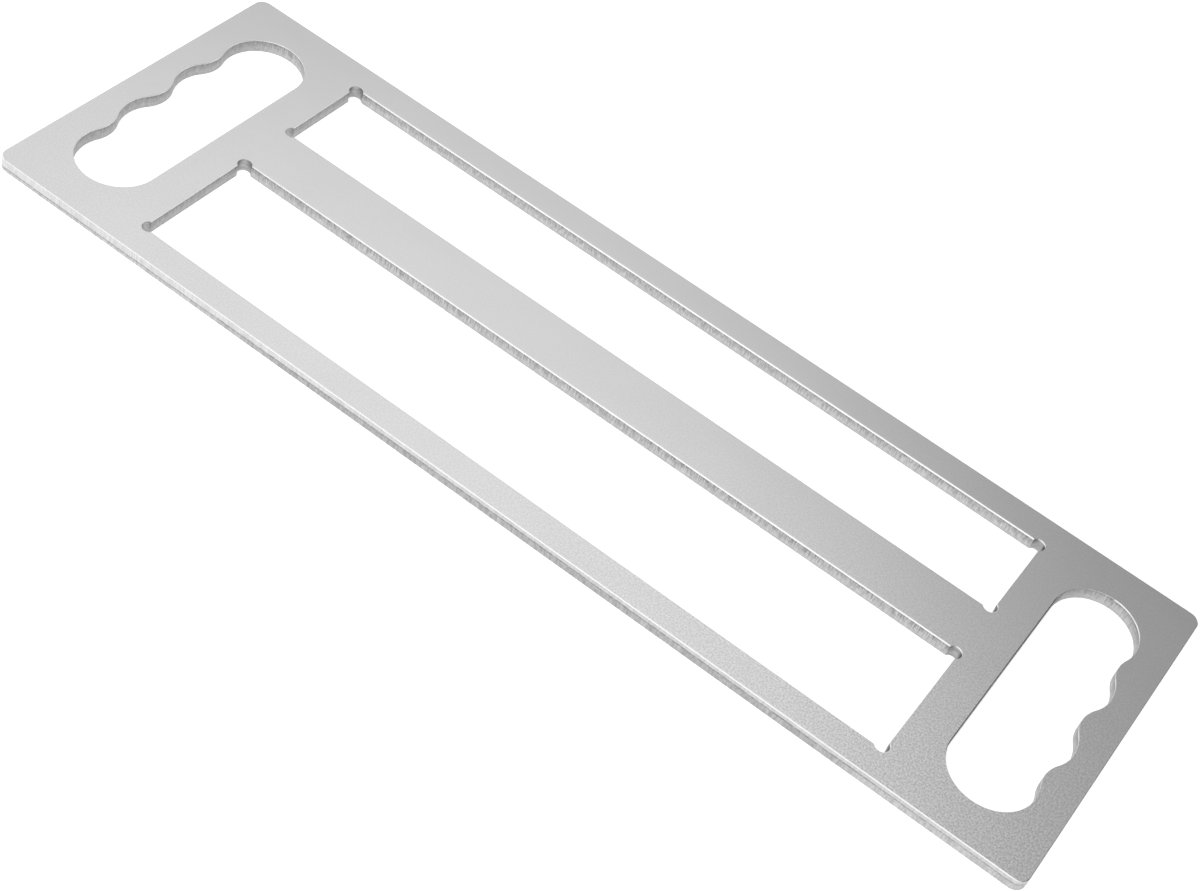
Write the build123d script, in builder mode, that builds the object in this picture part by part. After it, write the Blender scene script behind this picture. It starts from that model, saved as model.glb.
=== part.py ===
# Tenon gauge: one flat aluminium plate with two long windows and a finger grip
# at each end. A framer slides a window over a sawn tenon, and the tenon is the
# right thickness when it just fills the window.
#
# The plate lies flat. The origin is the middle of its underside, +X runs along
# the plate, +Y runs across it towards the narrow window, and +Z is up.

from build123d import *
import os

os.makedirs("parts", exist_ok=True)

# Driving sizes, in millimetres

# The plate, with its outer corners rounded. The arrises of its upper face are
# broken, and those of its underside are only just taken off.
plate_thickness = 5.0
corner_radius = 4.0
upper_edge_break = 0.3
lower_edge_break = 0.1

# The windows, each as wide as the tenon it checks
wide_tenon = 50.0
narrow_tenon = 38.0
window_length = 295.5

# The metal beside and between the windows
wide_side_rim = 11.25
centre_bar = 23.0
narrow_side_rim = 12.25

# The cutter's round relief in each window corner, and how far it cuts past
# the two sides that meet there
relief_radius = 2.5
relief_reach = 1.25

# The finger grips: four lobes for the fingers, with round ridges between them.
# The two middle lobes stand out beyond the end ones.
lobe_radius = 15.0
end_lobe_spacing = 74.5
middle_lobe_spacing = 28.0
middle_lobe_offset = 2.0
ridge_radius = 12.5

# The metal on each side of a grip
grip_web = 14.0
end_rim = 11.5

# Sizes and places that follow from them

plate_width = wide_side_rim + wide_tenon + centre_bar + narrow_tenon + narrow_side_rim
plate_length = window_length + 2 * (grip_web + 2 * lobe_radius + end_rim)
wide_window_y = -plate_width / 2 + wide_side_rim + wide_tenon / 2
narrow_window_y = plate_width / 2 - narrow_side_rim - narrow_tenon / 2
relief_inset = relief_radius - relief_reach
grip_side_x = window_length / 2 + grip_web
end_lobe_x = grip_side_x + lobe_radius
middle_lobe_x = end_lobe_x + middle_lobe_offset

# The lobes' centres, in order along the grip at the +X end
lobes = [
    Vector(end_lobe_x, -end_lobe_spacing / 2),
    Vector(middle_lobe_x, -middle_lobe_spacing / 2),
    Vector(middle_lobe_x, middle_lobe_spacing / 2),
    Vector(end_lobe_x, end_lobe_spacing / 2),
]


def ridge_centre(lobe, next_lobe):
    """Centre of the ridge circle that touches two neighbouring lobes."""
    span = next_lobe - lobe
    reach = lobe_radius + ridge_radius
    height = (reach**2 - (span.length / 2) ** 2) ** 0.5
    outwards = Vector(span.Y, -span.X).normalized()
    return lobe + span / 2 + outwards * height


def touching_point(lobe, ridge):
    """Point where a lobe's arc runs smoothly into a ridge's arc."""
    return lobe + (ridge - lobe).normalized() * lobe_radius


def relieved_window(width):
    """A window with a round relief in each corner."""
    Rectangle(window_length, width)
    along = window_length - 2 * relief_inset
    across = width - 2 * relief_inset
    with GridLocations(along, across, 2, 2):
        Circle(relief_radius)


with BuildPart() as gauge_plate:
    # The blank
    with BuildSketch():
        RectangleRounded(plate_length, plate_width, corner_radius)
    extrude(amount=plate_thickness)

    # The wide window, towards -Y, and the narrow one, towards +Y
    with BuildSketch():
        with Locations((0, wide_window_y)):
            relieved_window(wide_tenon)
        with Locations((0, narrow_window_y)):
            relieved_window(narrow_tenon)
    extrude(amount=plate_thickness, mode=Mode.SUBTRACT)

    # The grips: a straight side towards the windows, and lobes and ridges
    # towards the plate's end. The grip at the -X end mirrors the one at +X.
    ridges = [ridge_centre(lobe, after) for lobe, after in zip(lobes, lobes[1:])]
    low_corner = Vector(grip_side_x, lobes[0].Y)
    high_corner = Vector(grip_side_x, lobes[-1].Y)
    lobe_ends = [touching_point(*pair) for pair in zip(lobes, ridges)]
    lobe_starts = [touching_point(*pair) for pair in zip(lobes[1:], ridges)]
    crests = [
        lobes[0] + Vector(0, -lobe_radius),
        lobes[1] + Vector(lobe_radius, 0),
        lobes[2] + Vector(lobe_radius, 0),
        lobes[3] + Vector(0, lobe_radius),
    ]
    with BuildSketch():
        with BuildLine():
            Line(high_corner, low_corner)
            starts = [low_corner] + lobe_starts
            ends = lobe_ends + [high_corner]
            for start, crest, end in zip(starts, crests, ends):
                ThreePointArc(start, crest, end)
            for start, ridge, end in zip(lobe_ends, ridges, lobe_starts):
                towards_grip = ((start + end) / 2 - ridge).normalized()
                ThreePointArc(start, ridge + towards_grip * ridge_radius, end)
        make_face()
        mirror(about=Plane.YZ)
    extrude(amount=plate_thickness, mode=Mode.SUBTRACT)

    # The edges of both faces, outside and in the openings, have their arris broken
    chamfer(gauge_plate.faces().sort_by(Axis.Z)[-1].edges(), length=upper_edge_break)
    chamfer(gauge_plate.faces().sort_by(Axis.Z)[0].edges(), length=lower_edge_break)

gauge_plate.part.label = "gauge_plate"
export_step(gauge_plate.part, "parts/gauge_plate.step")

print(f"plate {plate_length:.1f} x {plate_width:.1f} x {plate_thickness:.1f} mm")
print(f"volume {gauge_plate.part.volume:.0f} cubic mm")
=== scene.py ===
# %% [markdown]
# A tenon gauge, dressed
#
# A tenon gauge is a flat aluminium plate with two long windows. A framer slides a
# window over a sawn tenon, and the tenon is right when it just fills the window.
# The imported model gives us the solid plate. This notebook gives it the surfaces
# that a cutter, a file and a sheet mill leave on real aluminium.
#
# We begin by loading that solid, and by noting the box that it fills.

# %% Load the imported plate
import math

import bmesh
import bpy
from mathutils import Matrix, Vector, noise


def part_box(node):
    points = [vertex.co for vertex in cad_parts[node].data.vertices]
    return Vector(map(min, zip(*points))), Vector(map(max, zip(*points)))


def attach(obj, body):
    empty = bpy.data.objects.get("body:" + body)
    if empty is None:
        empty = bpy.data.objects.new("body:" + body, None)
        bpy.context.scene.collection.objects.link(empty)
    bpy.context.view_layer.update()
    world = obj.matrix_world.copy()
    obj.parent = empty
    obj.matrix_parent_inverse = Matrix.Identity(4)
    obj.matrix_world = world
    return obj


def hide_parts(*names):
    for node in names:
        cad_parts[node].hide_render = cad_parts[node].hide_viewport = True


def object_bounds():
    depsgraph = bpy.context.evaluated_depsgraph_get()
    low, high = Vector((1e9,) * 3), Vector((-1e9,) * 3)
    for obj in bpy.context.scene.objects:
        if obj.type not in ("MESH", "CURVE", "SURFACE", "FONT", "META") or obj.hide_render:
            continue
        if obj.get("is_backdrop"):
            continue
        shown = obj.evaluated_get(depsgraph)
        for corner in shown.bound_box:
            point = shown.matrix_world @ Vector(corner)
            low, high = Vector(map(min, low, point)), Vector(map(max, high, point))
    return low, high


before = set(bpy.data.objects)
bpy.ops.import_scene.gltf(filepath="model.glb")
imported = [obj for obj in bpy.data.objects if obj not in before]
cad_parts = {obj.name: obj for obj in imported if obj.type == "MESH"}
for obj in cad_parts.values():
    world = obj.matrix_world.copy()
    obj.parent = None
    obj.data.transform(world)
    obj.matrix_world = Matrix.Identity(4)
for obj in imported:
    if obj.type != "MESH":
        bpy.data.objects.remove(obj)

mm = 0.001
cad_low, cad_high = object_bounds()
print("the solid plate measures", [round(side / mm, 2) for side in cad_high - cad_low], "mm")

# %% [markdown]
# The camera
#
# The camera comes first, because it decides how fine every detail has to be. It
# looks down at about 46 degrees from beyond the right end of the near edge, and it
# leans over to one side, which lays the plate out from the upper left of the
# picture to the lower right. A camera needs a place, a point to look at, a lean
# about its own line of sight, and a lens.

# %% Place the camera
camera_place = Vector((0.1876, -0.4722, 0.5108))
camera_target = Vector((0.01688, -0.02071, 0.00507))
camera_lean = math.radians(19.41)
camera_lens = 64.91
film_width = 36.0

line_of_sight = camera_target - camera_place
upright = line_of_sight.to_track_quat("-Z", "Y").to_matrix().to_4x4()
lean = Matrix.Rotation(camera_lean, 4, "Z")
camera = bpy.data.objects.new("camera", bpy.data.cameras.new("camera"))
camera.data.lens = camera_lens
camera.data.sensor_width = film_width
camera.matrix_world = Matrix.Translation(camera_place) @ upright @ lean
bpy.context.scene.collection.objects.link(camera)
bpy.context.scene.camera = camera
print("the camera is", round(line_of_sight.length / mm), "mm from what it looks at")

# %% [markdown]
# The floor
#
# The plate lies on a plain white floor. A floor that is only lit turns grey as the
# lamps fall off, and then the picture's background is grey too. So the floor also
# glows a little, but only for the camera and for reflections, and the plate's own
# soft shadow still shows on it.

# %% Mix the floor's paint
floor_white = 0.80
floor_glow = 0.70


def combine(material, how, first, second):
    """Two values added, multiplied and so on, in one Math node."""
    node = material.node_tree.nodes.new("ShaderNodeMath")
    node.operation = how
    for socket, value in zip(node.inputs, (first, second)):
        if isinstance(value, (int, float)):
            socket.default_value = value
        else:
            material.node_tree.links.new(value, socket)
    return node.outputs["Value"]


def glow_where_seen(material, white, glow):
    """A matt surface that adds a glow for the camera and for reflections, never for lighting."""
    material.use_nodes = True
    nodes = material.node_tree.nodes
    links = material.node_tree.links
    nodes.clear()
    output = nodes.new("ShaderNodeOutputMaterial")
    matt = nodes.new("ShaderNodeBsdfDiffuse")
    matt.inputs["Color"].default_value = (white, white, white, 1.0)
    rays = nodes.new("ShaderNodeLightPath").outputs
    seen = combine(material, "MAXIMUM", rays["Is Camera Ray"], rays["Is Glossy Ray"])
    seen = combine(material, "MAXIMUM", seen, rays["Is Transmission Ray"])
    shine = nodes.new("ShaderNodeEmission")
    links.new(combine(material, "MULTIPLY", seen, glow), shine.inputs["Strength"])
    both = nodes.new("ShaderNodeAddShader")
    links.new(matt.outputs[0], both.inputs[0])
    links.new(shine.outputs[0], both.inputs[1])
    links.new(both.outputs[0], output.inputs["Surface"])


floor_paint = bpy.data.materials.new("floor paint")
glow_where_seen(floor_paint, floor_white, floor_glow)
print("the floor's paint has", len(floor_paint.node_tree.nodes), "nodes")

# %% Lay the floor
floor_radius = 8.0
floor_corners = 96
floor_gap = 0.1 * mm

bm = bmesh.new()
bmesh.ops.create_circle(bm, cap_ends=True, segments=floor_corners, radius=floor_radius)
floor_mesh = bpy.data.meshes.new("floor")
bm.to_mesh(floor_mesh)
bm.free()
floor = bpy.data.objects.new("floor", floor_mesh)
floor.location.z = cad_low.z - floor_gap
floor_mesh.materials.append(floor_paint)
bpy.context.scene.collection.objects.link(floor)
floor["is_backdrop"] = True
print("the floor is", 2 * floor_radius, "m across")

# %% [markdown]
# The light
#
# Satin metal has hardly any colour of its own: it shows a blurred picture of the
# room. So the lamps are placed by what each surface mirrors. The upper face mirrors
# the space behind the plate, and it darkens towards the right, so a broad oval
# panel hangs overhead on the left, turned a little, and ends about where the right
# end looks. The near arrises mirror the space beside the camera, where a front
# softbox makes them white. A lower one on the left lights the arcs of the right
# grip, and a small one at the back lights the far edge.
#
# Small bright lamps would leave white patches on the metal when it is seen from
# another side. All four are broad and dim instead, and a grey room shines behind
# them, so the plate stays darker than the white floor from every side.


# %% Hang the softboxes
def softbox(name, centre, aim, width, height, brightness, shape="RECTANGLE"):
    """A flat lamp, in metres. A mirror shows one of brightness 1 as pure white."""
    data = bpy.data.lights.new(name, "AREA")
    data.shape = shape
    data.size = width
    data.size_y = height
    area = width * height * (math.pi / 4 if shape == "ELLIPSE" else 1.0)
    data.energy = brightness * math.pi * area
    lamp = bpy.data.objects.new(name, data)
    lamp.location = centre
    lamp.rotation_euler = (Vector(aim) - Vector(centre)).to_track_quat("-Z", "Y").to_euler()
    bpy.context.scene.collection.objects.link(lamp)
    return lamp


panel_turn = math.radians(12.8)
panel = softbox(
    "overhead panel",
    centre=(-0.92, 0.41, 1.65),
    aim=(-0.92, 0.41, 0.0),
    width=2.62,
    height=3.17,
    brightness=0.69,
    shape="ELLIPSE",
)
panel.rotation_euler.rotate_axis("Z", panel_turn)
softbox(
    "front softbox",
    centre=(-0.08, -1.10, 0.95),
    aim=(0.0, 0.0, 0.0),
    width=1.75,
    height=1.65,
    brightness=0.80,
)
softbox(
    "left softbox",
    centre=(-1.30, -0.20, 0.55),
    aim=(0.1, 0.0, 0.0),
    width=1.20,
    height=0.95,
    brightness=0.75,
)
softbox(
    "back softbox",
    centre=(1.10, 1.00, 0.75),
    aim=(0.0, 0.0, 0.0),
    width=0.90,
    height=0.70,
    brightness=0.75,
)
print("lamps:", [item.name for item in bpy.data.lights])

# %% Fill the room with grey
studio_grey = 0.30

world = bpy.data.worlds.new("studio")
world.use_nodes = True
background = world.node_tree.nodes["Background"]
background.inputs["Color"].default_value = (studio_grey, studio_grey, studio_grey, 1.0)
background.inputs["Strength"].default_value = 1.0
bpy.context.scene.world = world
bpy.context.scene.view_settings.view_transform = "Standard"
print("the room's grey is", studio_grey)

# %% [markdown]
# The outline
#
# Everything about this plate is in its outline: a rounded rectangle with two
# windows and two finger grips cut through it. We draw each one as a closed ring of
# points. Straight sides are divided evenly, so that an edge can waver along them,
# and every round stretch is a true arc, worked out here rather than copied, so that
# the curves stay smooth however close the camera comes.

# %% Name the sizes
plate_low, plate_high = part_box("gauge_plate")
plate_length, plate_width, plate_thickness = plate_high - plate_low
corner_radius = 4.0 * mm
upper_edge_break = 0.3 * mm
lower_edge_break = 0.1 * mm

window_length = 295.5 * mm
wide_tenon, wide_window_y = 50.0 * mm, -31.0 * mm
narrow_tenon, narrow_window_y = 38.0 * mm, 36.0 * mm
relief_radius = 2.5 * mm
relief_inset = 1.25 * mm

grip_side_x = 161.75 * mm
lobe_radius = 15.0 * mm
ridge_radius = 12.5 * mm
end_lobe_y = 37.25 * mm
middle_lobe_y = 14.0 * mm
middle_lobe_offset = 2.0 * mm
print("the plate is", round(plate_length / mm, 2), "mm long")

# %% Draw arcs and sides
arc_step = 0.4 * mm
fewest_arc_steps = 8
side_step = 0.75 * mm
shortest_side = side_step / 10
same_point = 0.0001 * mm


def arc(centre, radius, start, end):
    """Points along an arc, from one angle to another, in degrees."""
    sweep = math.radians(end - start)
    steps = max(fewest_arc_steps, math.ceil(abs(sweep) * radius / arc_step))
    angles = [math.radians(start) + sweep * step / steps for step in range(steps + 1)]
    return [
        Vector((centre[0] + radius * math.cos(angle), centre[1] + radius * math.sin(angle)))
        for angle in angles
    ]


def side(start, end):
    """Points along a straight side, without its two ends."""
    steps = max(1, round((end - start).length / side_step))
    return [start.lerp(end, step / steps) for step in range(1, steps)]


def closed_ring(stretches):
    """Joins the stretches of one outline with straight sides, and drops doubled points."""
    ring = []
    for stretch, following in zip(stretches, stretches[1:] + stretches[:1]):
        ring += stretch
        if (following[0] - stretch[-1]).length > shortest_side:
            ring += side(stretch[-1], following[0])
    pairs = zip(ring, ring[-1:] + ring[:-1])
    return [point for point, before in pairs if (point - before).length > same_point]


print("one corner is drawn with", len(arc((0.0, 0.0), corner_radius, 0, 90)), "points")

# %% Draw the plate's outside
half_x = plate_length / 2 - corner_radius
half_y = plate_width / 2 - corner_radius
plate_ring = closed_ring(
    [
        arc((half_x, half_y), corner_radius, 0, 90),
        arc((-half_x, half_y), corner_radius, 90, 180),
        arc((-half_x, -half_y), corner_radius, 180, 270),
        arc((half_x, -half_y), corner_radius, 270, 360),
    ]
)
print("the plate's outside has", len(plate_ring), "points")

# %% [markdown]
# A window's corners
#
# A round cutter can't cut a square inside corner, and a tenon has square corners.
# So the cutter runs a little past each corner and leaves a round relief. Its circle
# crosses both sides, and the ring follows it from the one crossing to the other.


# %% Draw the windows
def window_ring(width, middle_y):
    """A window as a ring, anticlockwise, with a relief in each corner."""
    reach_x = window_length / 2 - relief_inset
    reach_y = width / 2 - relief_inset
    past = math.degrees(math.acos(relief_inset / relief_radius))
    corners = []
    for quarter, (sign_x, sign_y) in enumerate([(1, 1), (-1, 1), (-1, -1), (1, -1)]):
        centre = (sign_x * reach_x, middle_y + sign_y * reach_y)
        start = 90 * quarter - past
        end = 90 * quarter + 90 + past
        corners.append(arc(centre, relief_radius, start, end))
    return closed_ring(corners)


wide_ring = window_ring(wide_tenon, wide_window_y)
narrow_ring = window_ring(narrow_tenon, narrow_window_y)
print("the windows have", len(wide_ring), "and", len(narrow_ring), "points")

# %% [markdown]
# The finger grips
#
# This is the one part of the plate that a plain slot would get wrong. Four round
# lobes take the fingers, and a round ridge stands between each two. A ridge's
# circle touches both of its lobes, so its centre lies one lobe radius and one ridge
# radius from each, and the arcs meet where the two circles touch.


# %% Find the lobes and the ridges
def ridge_between(lobe, next_lobe):
    """Centre of the circle that touches two lobes, on the side of the plate's end."""
    span = next_lobe - lobe
    height = math.sqrt((lobe_radius + ridge_radius) ** 2 - (span.length / 2) ** 2)
    outwards = Vector((span.y, -span.x)).normalized()
    return lobe + span / 2 + outwards * height


end_lobe_x = grip_side_x + lobe_radius
lobes = [
    Vector((end_lobe_x, -end_lobe_y)),
    Vector((end_lobe_x + middle_lobe_offset, -middle_lobe_y)),
    Vector((end_lobe_x + middle_lobe_offset, middle_lobe_y)),
    Vector((end_lobe_x, end_lobe_y)),
]
ridges = [ridge_between(lobe, next_lobe) for lobe, next_lobe in zip(lobes, lobes[1:])]
print("the ridges' centres are at", [[round(part / mm, 2) for part in ridge] for ridge in ridges])


# %% Draw the grips
def heading(centre, point):
    """The angle of a point as seen from a centre, in degrees."""
    return math.degrees(math.atan2(point.y - centre.y, point.x - centre.x))


last_lobe = len(lobes) - 1
grip_arcs = []
for number, lobe in enumerate(lobes):
    start = -180 if number == 0 else heading(lobe, ridges[number - 1])
    end = 180 if number == last_lobe else heading(lobe, ridges[number])
    grip_arcs.append(arc(lobe, lobe_radius, start, end))
    if number < last_lobe:
        ridge = ridges[number]
        ridge_start = heading(ridge, lobe) % 360
        ridge_end = heading(ridge, lobes[number + 1]) % 360
        grip_arcs.append(arc(ridge, ridge_radius, ridge_start, ridge_end))
right_ring = closed_ring(grip_arcs)
left_ring = [Vector((-point.x, point.y)) for point in reversed(right_ring)]
print("each grip has", len(right_ring), "points")

# %% [markdown]
# The edge's section
#
# No real plate has razor edges. Here the lower arrises are only just taken off,
# and the upper ones were broken by hand, to 0.3 mm or so at most. That thin slope
# is what catches the light. Its width wavers a little along the edge, and it rolls
# softly into the wall. Blender's bevel gives every edge one even width, so each
# section is worked out point by point instead.

# %% Break the arrises
arris_waver = 0.12
arris_waver_length = 22.0 * mm


def wavering(point, length):
    """A smooth random value from -1 to 1 that changes over the given length."""
    return noise.noise(Vector((point.x / length, point.y / length, 0.0)))


def broken_arris(size):
    """Steps from the upper face to the wall: how far in from the wall, and how far down."""
    slope = [(1.0, 0.0), (0.10, 0.92)]
    roll = [(0.03, 1.35), (0.0, 1.9)]
    return [(inset * size, drop * size) for inset, drop in slope + roll]


def upper_arris(point, share):
    """The upper arris at one point of a ring, a little wider or narrower than at the next."""
    size = share * upper_edge_break * (1 + arris_waver * wavering(point, arris_waver_length))
    return [(inset, plate_thickness - drop) for inset, drop in broken_arris(size)]


lower_arris = [(0.0, lower_edge_break), (lower_edge_break, 0.0)]
arris_rows = len(broken_arris(upper_edge_break)) - 1
print("the upper arris has", arris_rows, "rows of faces")

# %% [markdown]
# The walls of the openings
#
# The hand that broke the arrises pressed harder in some places. The slope is widest
# on the straight side of the right grip and on the windows' long sides. It is
# narrower round the right grip's lobes and in the reliefs at that end, and
# narrowest in the left grip, on the windows' short sides and in the left reliefs.
# The file also missed the right grip's far lobe, up to the lobe's crest. Below the
# arris, a wall is straight.

# %% Work out the openings' sections
straight_side_share = 1.0
window_share = 0.85
right_grip_share = 0.6
right_relief_share = 0.6
light_share = 0.35
missed_share = 0.15
share_blend = 2.0 * mm
side_tolerance = 0.01 * mm


def left_grip_section(point):
    """A straight wall between two arrises, of which the upper one is hardly broken."""
    return upper_arris(point, light_share) + lower_arris


def right_grip_section(point):
    """The same for the right grip: widest on its straight side, missed at the far lobe."""
    into_lobes = min(1.0, (point.x - grip_side_x) / share_blend)
    share = straight_side_share + (right_grip_share - straight_side_share) * into_lobes
    if point.x < end_lobe_x and point.y > end_lobe_y:
        into_missed = min(1.0, (point.y - end_lobe_y) / share_blend)
        share += (missed_share - share) * into_missed
    return upper_arris(point, share) + lower_arris


def window_section(width, middle_y):
    """The same for a window: broken most on the long sides, and less in the right reliefs."""

    def section(point):
        past_side = abs(point.y - middle_y) - width / 2
        past_end = abs(point.x) - window_length / 2
        share = light_share
        if abs(past_side) < side_tolerance:
            share = window_share
        elif point.x > 0 and max(past_side, past_end) > side_tolerance:
            share = right_relief_share
        return upper_arris(point, share) + lower_arris

    return section


print("an opening's wall has", len(left_grip_section(left_ring[0])) - 1, "rows of faces")

# %% [markdown]
# The outside edge
#
# The outside was cut in two passes of the cutter, one above the other, and they
# meet in a fine groove. It climbs from left to right and then levels off, because
# the plate didn't sit quite flat under the cutter, and it is ragged where the metal
# tore. A bump in the material could hint at it, but the edge is seen close up and
# from the side, so the groove is cut into the mesh.

# %% Work out the outside's section
outside_share = 0.6
pass_step = 0.04 * mm
groove_depth = 0.09 * mm
groove_above = 0.08 * mm
groove_below = 0.40 * mm
pass_height = 2.35 * mm
pass_climb = 0.72 * mm
climb_middle = -80.0 * mm
climb_length = 60.0 * mm
pass_waver = 0.10 * mm
pass_waver_length = 7.0 * mm
pass_tear = 0.12 * mm
pass_tear_length = 2.0 * mm


def outside_section(point):
    """A wall between two arrises, with the groove where the two passes of the cutter meet."""
    meeting = pass_height + pass_climb * math.tanh((point.x - climb_middle) / climb_length)
    meeting += pass_waver * wavering(point, pass_waver_length)
    meeting += pass_tear * wavering(point, pass_tear_length)
    upper = [(inset + pass_step, height) for inset, height in upper_arris(point, outside_share)]
    groove = [
        (pass_step, meeting + groove_above),
        (pass_step + groove_depth, meeting),
        (0.0, meeting - groove_below),
    ]
    return upper + groove + lower_arris


print("the outside wall has", len(outside_section(plate_ring[0])) - 1, "rows of faces")

# %% [markdown]
# From rings to metal
#
# A wall is a ring repeated at each step of its section. Every point moves into the
# metal along the line that halves its corner, so the sloping arris keeps its width
# round the corners too. At a very sharp corner that move would grow without end,
# so it is held to about three times its length. Each face is given the number of
# its finish as it is made, while it is still known where on the wall it lies.

# %% Move points into the metal
least_corner_share = 0.3


def into_metal(ring, sign):
    """For each point of a ring, the direction into the metal, made longer at a corner."""
    moves = []
    count = len(ring)
    for index, point in enumerate(ring):
        arriving = (point - ring[index - 1]).normalized()
        leaving = (ring[(index + 1) % count] - point).normalized()
        across_in = Vector((-arriving.y, arriving.x)) * sign
        across_out = Vector((-leaving.y, leaving.x)) * sign
        middle = (across_in + across_out).normalized()
        moves.append(middle / max(least_corner_share, middle.dot(across_in)))
    return moves


longest_move = max(move.length for move in into_metal(wide_ring, -1))
print("where a relief meets a side, a point moves", round(longest_move, 2), "times as far")

# %% Say which finish goes where
face_finish, arris_finish, wall_finish, relief_finish = range(4)
first_pass_finish, groove_finish, second_pass_finish = range(4, 7)
groove_rows = 2


def grip_finishes(place, row):
    """The upper arris, and then the milled wall down to the bench."""
    return arris_finish if row < arris_rows else wall_finish


def window_finishes(width, middle_y):
    """The same for a window, whose reliefs have their own wall and are filed only on the right."""

    def finishes(place, row):
        beyond_x = abs(place.x) - window_length / 2
        beyond_y = abs(place.y - middle_y) - width / 2
        in_relief = max(beyond_x, beyond_y) > upper_edge_break
        if in_relief and (row >= arris_rows or place.x < 0):
            return relief_finish
        return grip_finishes(place, row)

    return finishes


def outside_finishes(place, row):
    """The upper arris, the first pass, the groove and the second pass."""
    if row < arris_rows:
        return arris_finish
    if row == arris_rows:
        return first_pass_finish
    if row <= arris_rows + groove_rows:
        return groove_finish
    return second_pass_finish


outside_rows = len(outside_section(plate_ring[0])) - 1
print("down the outside:", [outside_finishes(plate_ring[0], row) for row in range(outside_rows)])


# %% Build the walls
def build_wall(bm, ring, section, sign, finishes):
    """Adds a ring's wall to the mesh, and returns its first and last loops of points."""
    moves = into_metal(ring, sign)
    columns = []
    for point, move in zip(ring, moves):
        column = []
        for inset, height in section(point):
            place = point + move * inset
            column.append(bm.verts.new((place.x, place.y, height)))
        columns.append(column)
    count = len(columns)
    rows = len(columns[0]) - 1
    for index, column in enumerate(columns):
        following = columns[(index + 1) % count]
        for row in range(rows):
            corners = [column[row], column[row + 1], following[row + 1], following[row]]
            if sign < 0:
                corners.reverse()
            face = bm.faces.new(corners)
            face.smooth = True
            face.material_index = finishes((column[row].co + following[row].co) / 2, row)
    return [column[0] for column in columns], [column[-1] for column in columns]


walls = [
    (plate_ring, outside_section, 1, outside_finishes),
    (right_ring, right_grip_section, -1, grip_finishes),
    (left_ring, left_grip_section, -1, grip_finishes),
]
windows = [
    (wide_ring, wide_tenon, wide_window_y),
    (narrow_ring, narrow_tenon, narrow_window_y),
]
for ring, width, middle_y in windows:
    section = window_section(width, middle_y)
    walls.append((ring, section, -1, window_finishes(width, middle_y)))

bm = bmesh.new()
upper_loops, lower_loops = [], []
for ring, section, sign, finishes in walls:
    upper, lower = build_wall(bm, ring, section, sign, finishes)
    upper_loops.append(upper)
    lower_loops.append(lower)
print("the walls have", len(bm.faces), "faces")

# %% [markdown]
# The two faces
#
# The upper and lower faces are flat, so any triangles that fill the space between
# the rings will do. A single face can't have holes in it, and cutting the openings
# out with a boolean would cut the fine steps of the arrises into splinters.
# Blender's triangle fill needs only the innermost edges of the five walls, and it
# leaves the openings open.


# %% Fill the two faces
def fill_face(bm, loops, upwards):
    """Fills the plate between its outside loop and the loops of the openings."""
    edges = []
    for loop in loops:
        for vert, following in zip(loop, loop[1:] + loop[:1]):
            edges.append(bm.edges.get((vert, following)))
    filled = bmesh.ops.triangle_fill(bm, edges=edges, use_beauty=True)
    faces = [item for item in filled["geom"] if isinstance(item, bmesh.types.BMFace)]
    for face in faces:
        face.normal_update()
        if (face.normal.z > 0) != upwards:
            face.normal_flip()
        face.smooth = False
        face.material_index = face_finish
    return len(faces)


upper_count = fill_face(bm, upper_loops, True)
lower_count = fill_face(bm, lower_loops, False)
print("the two faces have", upper_count, "and", lower_count, "triangles")
print("enclosed metal:", round(bm.calc_volume() / mm**3), "cubic mm")

# %% Keep the sharp turns crisp
# The surface turns by more than this at the arrises, in the groove and where a relief
# meets a side. Everywhere else on the walls the shading runs on smoothly.
sharp_turn = math.radians(35)

crisp_edges = 0
for edge in bm.edges:
    if len(edge.link_faces) == 2 and edge.calc_face_angle(0.0) > sharp_turn:
        edge.smooth = False
        crisp_edges += 1
print(crisp_edges, "edges stay crisp")

# %% Put the plate in its place
plate_mesh = bpy.data.meshes.new("dressed_plate")
bm.to_mesh(plate_mesh)
bm.free()
dressed_plate = bpy.data.objects.new("dressed_plate", plate_mesh)
bpy.context.scene.collection.objects.link(dressed_plate)
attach(dressed_plate, "root")
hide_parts("gauge_plate")
print("the dressed plate has", len(plate_mesh.polygons), "faces")

# %% [markdown]
# Finishes
#
# The whole plate is one bare aluminium, so each of its seven finishes is a fully
# metallic shader. What tells them apart is how the surface was made. A rolled face
# mirrors the light well, and a milled wall scatters and traps more of it, so it
# gets a darker grey, a higher roughness and the marks of the cutter.
#
# A finish is a small tree of nodes: noise that is stretched to the size of the real
# marks, mixed into one value, and used as the metal's grey or as its bump. A few
# short helpers keep the trees readable. Noise seldom leaves the middle of its range
# from 0 to 1, so only that part of it is used.


# %% Start and colour a metal
def new_metal(name, roughness):
    """A material with a plain metal shader, to which a finish adds its grey and its grain."""
    material = bpy.data.materials.new(name)
    material.use_nodes = True
    metal = material.node_tree.nodes["Principled BSDF"]
    metal.inputs["Metallic"].default_value = 1.0
    metal.inputs["Roughness"].default_value = roughness
    return material, metal


def tint(material, metal, value):
    """Uses one value for red, green and blue alike."""
    node = material.node_tree.nodes.new("ShaderNodeCombineColor")
    for channel in ("Red", "Green", "Blue"):
        material.node_tree.links.new(value, node.inputs[channel])
    material.node_tree.links.new(node.outputs["Color"], metal.inputs["Base Color"])


def emboss(material, metal, height, depth):
    """Turns a height into a bump, with its depth in millimetres."""
    node = material.node_tree.nodes.new("ShaderNodeBump")
    node.inputs["Distance"].default_value = depth * mm
    node.inputs["Strength"].default_value = 1.0
    material.node_tree.links.new(height, node.inputs["Height"])
    material.node_tree.links.new(node.outputs["Normal"], metal.inputs["Normal"])


print("helpers made: new_metal, tint and emboss")


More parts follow.
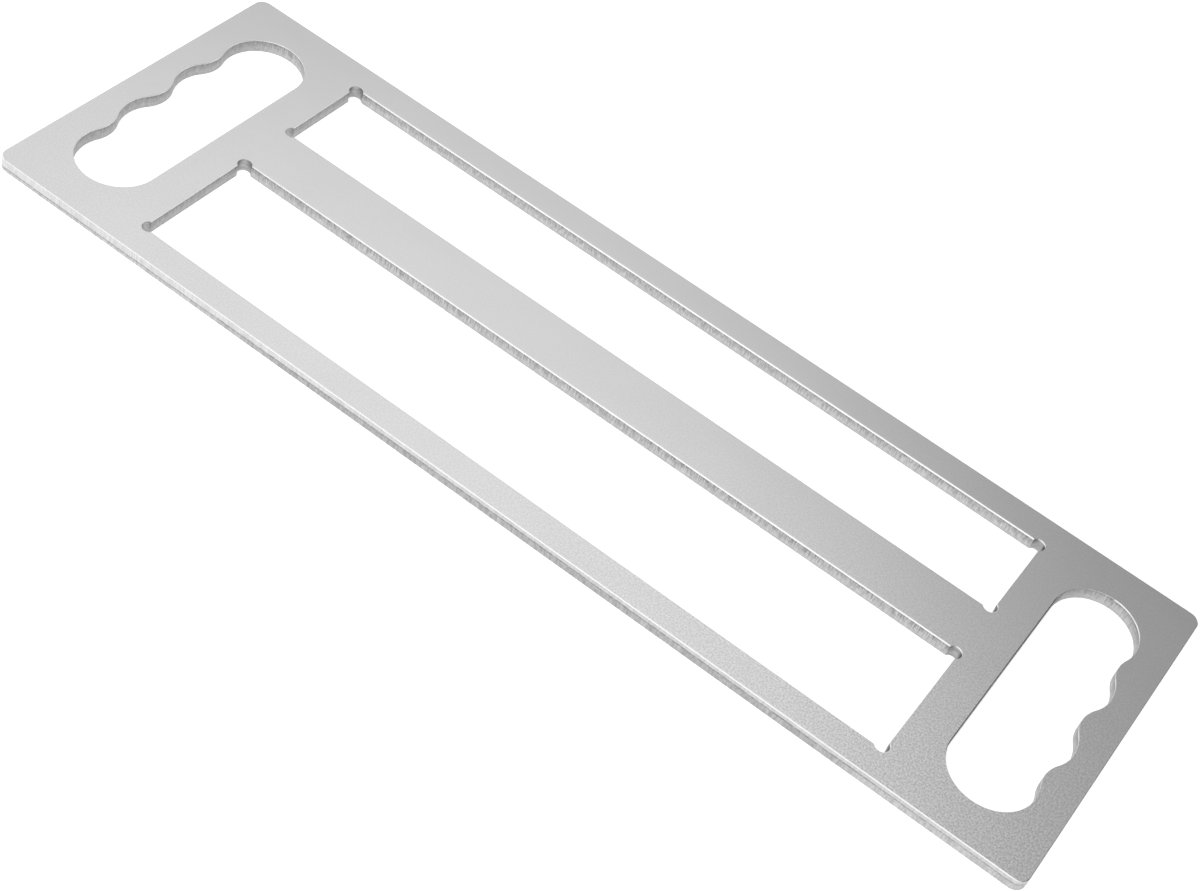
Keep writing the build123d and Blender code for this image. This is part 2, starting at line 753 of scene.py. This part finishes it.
# %% Find the place on the plate
def stretched(material, scale):
    """Coordinates on the plate, in millimetres divided by the given sizes."""
    nodes = material.node_tree.nodes
    links = material.node_tree.links
    coordinates = nodes.new("ShaderNodeTexCoord")
    mapping = nodes.new("ShaderNodeMapping")
    mapping.inputs["Scale"].default_value = [1.0 / (size * mm) for size in scale]
    links.new(coordinates.outputs["Object"], mapping.inputs["Vector"])
    return mapping.outputs["Vector"]


def place_on_plate(material, axis):
    """The place on the plate along one axis, in metres, as a value."""
    nodes = material.node_tree.nodes
    coordinates = nodes.new("ShaderNodeTexCoord")
    separate = nodes.new("ShaderNodeSeparateXYZ")
    material.node_tree.links.new(coordinates.outputs["Object"], separate.inputs[0])
    return separate.outputs[axis]


def facing(material, axis):
    """How far the surface faces along one axis, from -1 to 1."""
    nodes = material.node_tree.nodes
    geometry = nodes.new("ShaderNodeNewGeometry")
    separate = nodes.new("ShaderNodeSeparateXYZ")
    material.node_tree.links.new(geometry.outputs["Normal"], separate.inputs[0])
    return separate.outputs[axis]


print("helpers made: stretched, place_on_plate and facing")

# %% Shape the noise
narrow_range = (0.38, 0.62)
middle_range = (0.35, 0.65)
wide_range = (0.3, 0.7)
whole_range = (0.0, 1.0)


def cloud(material, scale, detail=2.0, roughness=0.5):
    """Soft noise whose patches are about as large as scale, in millimetres."""
    nodes = material.node_tree.nodes
    links = material.node_tree.links
    texture = nodes.new("ShaderNodeTexNoise")
    texture.inputs["Scale"].default_value = 1.0
    texture.inputs["Detail"].default_value = detail
    texture.inputs["Roughness"].default_value = roughness
    links.new(stretched(material, scale), texture.inputs["Vector"])
    return texture.outputs["Fac"]


def remap(material, value, old_range, new_range):
    """The value, stretched from one range to another and kept inside it."""
    node = material.node_tree.nodes.new("ShaderNodeMapRange")
    ends = ("From Min", "From Max", "To Min", "To Max")
    for end, number in zip(ends, old_range + new_range):
        node.inputs[end].default_value = number
    material.node_tree.links.new(value, node.inputs["Value"])
    return node.outputs["Result"]


print("noise is used from", narrow_range[0], "to", narrow_range[1], "where it has to be crisp")

# %% [markdown]
# The rolled faces
#
# Both faces are the sheet as it left the mill: satin, faintly cloudy, and grained.
# The grain grows towards the near right corner, and there its speckle in the grey is
# painted sparkle. A picture of real aluminium could give all that, but it would
# repeat, and blur close up. Noise that is measured in millimetres stays sharp from
# any distance, so the clouds, the grain and the place on the plate are mixed into
# one grey.

# %% Finish the faces
grain_size = 0.62
grain_depth = 0.04
strongest_speckle = 0.155
cloud_size = (30.0, 18.0, 30.0)
sheet_greys = (0.772, 0.788)
sheet_roughness = (0.278, 0.298)


def satin_face():
    """The rolled sheet: faintly cloudy, with a grain and a painted sparkle that are strongest in the
    near right corner.
    """
    material, metal = new_metal("satin sheet face", roughness=0.29)
    grain = cloud(material, (grain_size, grain_size, grain_size), roughness=0.6)
    clouds = cloud(material, cloud_size)
    along = place_on_plate(material, "X")
    across = place_on_plate(material, "Y")
    towards_right = remap(material, along, (-20.0 * mm, 160.0 * mm), (0.25, 1.0))
    towards_near = remap(material, across, (-50.0 * mm, 30.0 * mm), (1.0, 0.22))
    grain_and_sparkle_strength = combine(material, "MULTIPLY", towards_right, towards_near)
    # The speckle in the grey is painted sparkle, strongest towards the near right corner.
    speckle = remap(material, grain, narrow_range, (-strongest_speckle, strongest_speckle))
    speckle = combine(material, "MULTIPLY", grain_and_sparkle_strength, speckle)
    cloudy = remap(material, clouds, wide_range, sheet_greys)
    tint(material, metal, combine(material, "ADD", speckle, cloudy))
    roughness = remap(material, grain, wide_range, sheet_roughness)
    material.node_tree.links.new(roughness, metal.inputs["Roughness"])
    height = combine(material, "MULTIPLY", grain, grain_and_sparkle_strength)
    emboss(material, metal, height, grain_depth)
    return material


plate_mesh.materials.append(satin_face())
print("finish", face_finish, "is the", plate_mesh.materials[face_finish].name)

# %% [markdown]
# The broken arrises
#
# The file leaves a narrow slope that mirrors a lamp almost whole, and that bright
# line is what makes an edge look real. It could be painted on as a light stripe,
# but a stripe would be bright from every side. So the slope is in the mesh, and
# here it only gets a smoother, cleaner metal with a few nicks. Near the right end,
# shade is painted on what faces right: on the arris and the wall of the grip's
# straight side, and on the arris of the end itself.

# %% Finish the arrises
# Painted shade starts here, near the right end, on surfaces that face right.
painted_shade_from = 155.0 * mm
painted_shade_to = 160.0 * mm


def right_side_shade(material, low, high):
    """From 0 to 1 as a surface near the right end faces right, where shade is painted on."""
    facing_right = remap(material, facing(material, "X"), (low, high), whole_range)
    along = place_on_plate(material, "X")
    near_right_end = remap(material, along, (painted_shade_from, painted_shade_to), whole_range)
    return combine(material, "MULTIPLY", facing_right, near_right_end)


def filed_arris():
    """The narrow slope left by breaking the edge: bright, with a few nicks, and painted shade where
    it faces right near the right end.
    """
    material, metal = new_metal("filed arris", roughness=0.36)
    nicks = cloud(material, (1.6, 1.6, 1.6))
    filed = remap(material, nicks, wide_range, (0.88, 0.97))
    # Painted shade: near the right end, the arris is darkest where it faces right.
    right_shade = remap(material, right_side_shade(material, low=0.58, high=0.67), whole_range, (1.0, 0.14))
    tint(material, metal, combine(material, "MULTIPLY", filed, right_shade))
    return material


plate_mesh.materials.append(filed_arris())
print("finish", arris_finish, "is the", plate_mesh.materials[arris_finish].name)

# %% [markdown]
# The milled walls
#
# An end mill walks round each opening and leaves fine upright marks. They are
# strongest in the upper half. The wall is painted lighter towards the bottom and
# darker towards the top, as painted light and shade, and darkest just under the
# arris, as painted shade. Walls that face along the plate get painted shade too.
# Carved one by one, such marks would take thousands of faces for something as thin
# as a hair. Noise that is stretched upwards gives them at once, as grey and as a
# slight bump. The corner reliefs were cut on their own and are duller, and shade is
# painted on them where they face the left end.


# %% Finish the openings' walls
def milled_wall():
    """A milled wall: fine upright marks of the cutter, with painted light towards the bottom and
    painted shade just under the arris.
    """
    material, metal = new_metal("milled wall", roughness=0.50)
    marks = cloud(material, (0.32, 0.32, 3.5), detail=1.0, roughness=0.6)
    mottle = cloud(material, (1.5, 1.5, 0.9), roughness=0.6)
    height = place_on_plate(material, "Z")
    sideways = combine(material, "ABSOLUTE", facing(material, "X"), 0.0)

    # Painted light and shade: lighter towards the bottom, darker towards the top, and darkest just
    # under the arris.
    grey = remap(material, height, (1.6 * mm, 2.9 * mm), (0.49, 0.40))
    shade_under_arris = remap(material, height, (3.4 * mm, 4.2 * mm), (0.0, -0.07))
    grey = combine(material, "ADD", grey, shade_under_arris)

    # The marks fade downwards, and on the walls that face along the plate.
    fading = remap(material, height, (0.8 * mm, 3.0 * mm), (0.35, 1.0))
    fading_sideways = remap(material, sideways, (0.1, 0.7), (1.0, 0.55))
    fading = combine(material, "MULTIPLY", fading, fading_sideways)
    streaks = remap(material, marks, narrow_range, (-0.09, 0.15))
    grey = combine(material, "ADD", grey, combine(material, "MULTIPLY", fading, streaks))
    grey = combine(material, "ADD", grey, remap(material, mottle, middle_range, (-0.04, 0.04)))

    # Painted shade: walls that face along the plate are made darker.
    sideways_shade = remap(material, sideways, (0.3, 0.9), (1.0, 0.86))
    grey = combine(material, "MULTIPLY", grey, sideways_shade)
    # Painted shade: near the right end, the wall is darkest where it faces right.
    right_shade = remap(material, right_side_shade(material, low=0.93, high=1.0), whole_range, (1.0, 0.40))
    tint(material, metal, combine(material, "MULTIPLY", grey, right_shade))
    emboss(material, metal, marks, depth=0.012)
    return material


def relief_wall():
    """A corner relief: cut on its own and dull, with painted shade where it faces the left end."""
    material, metal = new_metal("corner relief", roughness=0.50)
    rings = cloud(material, (2.0, 2.0, 0.6), roughness=0.6)
    # Painted shade: the relief is darkest where it faces the left end.
    painted_relief_shade = remap(material, facing(material, "X"), (-0.80, -0.50), (0.30, 1.0))
    grey = remap(material, rings, middle_range, (0.35, 0.52))
    tint(material, metal, combine(material, "MULTIPLY", painted_relief_shade, grey))
    return material


plate_mesh.materials.append(milled_wall())
plate_mesh.materials.append(relief_wall())
for number in (wall_finish, relief_finish):
    print("finish", number, "is the", plate_mesh.materials[number].name)

# %% [markdown]
# The two passes
#
# On the outside, the upper pass of the cutter is smooth and bright and the lower
# one is duller, and the groove between them is painted dark, as its shade. One
# material could tell the three apart by their height, but the groove climbs along
# the plate, and the faces of the mesh already know where it is. So each band gets a
# metal of its own.


# %% Finish the upper pass
def first_pass():
    """The upper band of the outside edge: smooth and bright, most so towards the left end."""
    material, metal = new_metal("first pass of the outside", roughness=0.42)
    marks = cloud(material, (0.4, 0.4, 6.0), roughness=0.6)
    mottle = cloud(material, (6.0, 6.0, 1.6))
    grey = remap(material, marks, narrow_range, (0.55, 0.67))
    grey = combine(material, "ADD", grey, remap(material, mottle, middle_range, (-0.015, 0.015)))
    along = place_on_plate(material, "X")
    duller_to_the_right = remap(material, along, (-70.0 * mm, 10.0 * mm), (1.0, 0.92))
    tint(material, metal, combine(material, "MULTIPLY", grey, duller_to_the_right))
    emboss(material, metal, marks, depth=0.010)
    return material


plate_mesh.materials.append(first_pass())
print("finish", first_pass_finish, "is the", plate_mesh.materials[first_pass_finish].name)

# %% Finish the groove
# The groove's painted shade is darkest about this middle.
darkest_middle = 25.0 * mm


def groove():
    """The groove between the passes: painted dark as its shade, and lighter at both ends."""
    material, metal = new_metal("groove between the passes", roughness=0.55)
    # The groove's dark, patchy grey is painted shade.
    groove_shade = cloud(material, (0.8, 0.8, 0.8), roughness=0.6)
    from_middle = combine(material, "SUBTRACT", place_on_plate(material, "X"), darkest_middle)
    from_middle = combine(material, "ABSOLUTE", from_middle, 0.0)
    lighter_ends = remap(material, from_middle, (112.0 * mm, 138.0 * mm), (0.0, 0.07))
    grey = remap(material, groove_shade, narrow_range, (0.24, 0.48))
    tint(material, metal, combine(material, "ADD", lighter_ends, grey))
    return material


plate_mesh.materials.append(groove())
print("finish", groove_finish, "is the", plate_mesh.materials[groove_finish].name)


# %% Finish the lower pass
def second_pass():
    """The lower band: duller, but bright again towards both ends."""
    material, metal = new_metal("second pass of the outside", roughness=0.50)
    marks = cloud(material, (0.45, 0.45, 4.0), detail=3.0, roughness=0.6)
    mottle = cloud(material, (3.0, 3.0, 1.2), detail=3.0, roughness=0.6)
    along = place_on_plate(material, "X")
    left_end = remap(material, along, (-118.0 * mm, -82.0 * mm), (1.0, 0.0))
    right_end = remap(material, along, (136.0 * mm, 146.0 * mm), (0.0, 0.8))
    bright = combine(material, "MAXIMUM", left_end, right_end)
    grey = remap(material, bright, whole_range, (0.425, 0.53))
    grey = combine(material, "ADD", grey, remap(material, marks, narrow_range, (-0.07, 0.09)))
    grey = combine(material, "ADD", grey, remap(material, mottle, middle_range, (-0.02, 0.02)))
    tint(material, metal, grey)
    emboss(material, metal, marks, depth=0.010)
    return material


plate_mesh.materials.append(second_pass())
print("finish", second_pass_finish, "is the", plate_mesh.materials[second_pass_finish].name)

# %% [markdown]
# The dressed plate's size
#
# The dressed plate has to fill the same box as the solid, so its box is printed too,
# as the solid's was at the start.

# %% Print the sizes
visual_low, visual_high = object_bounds()
visual_sides = visual_high - visual_low
print("the dressed plate measures", [round(side / mm, 2) for side in visual_sides], "mm")
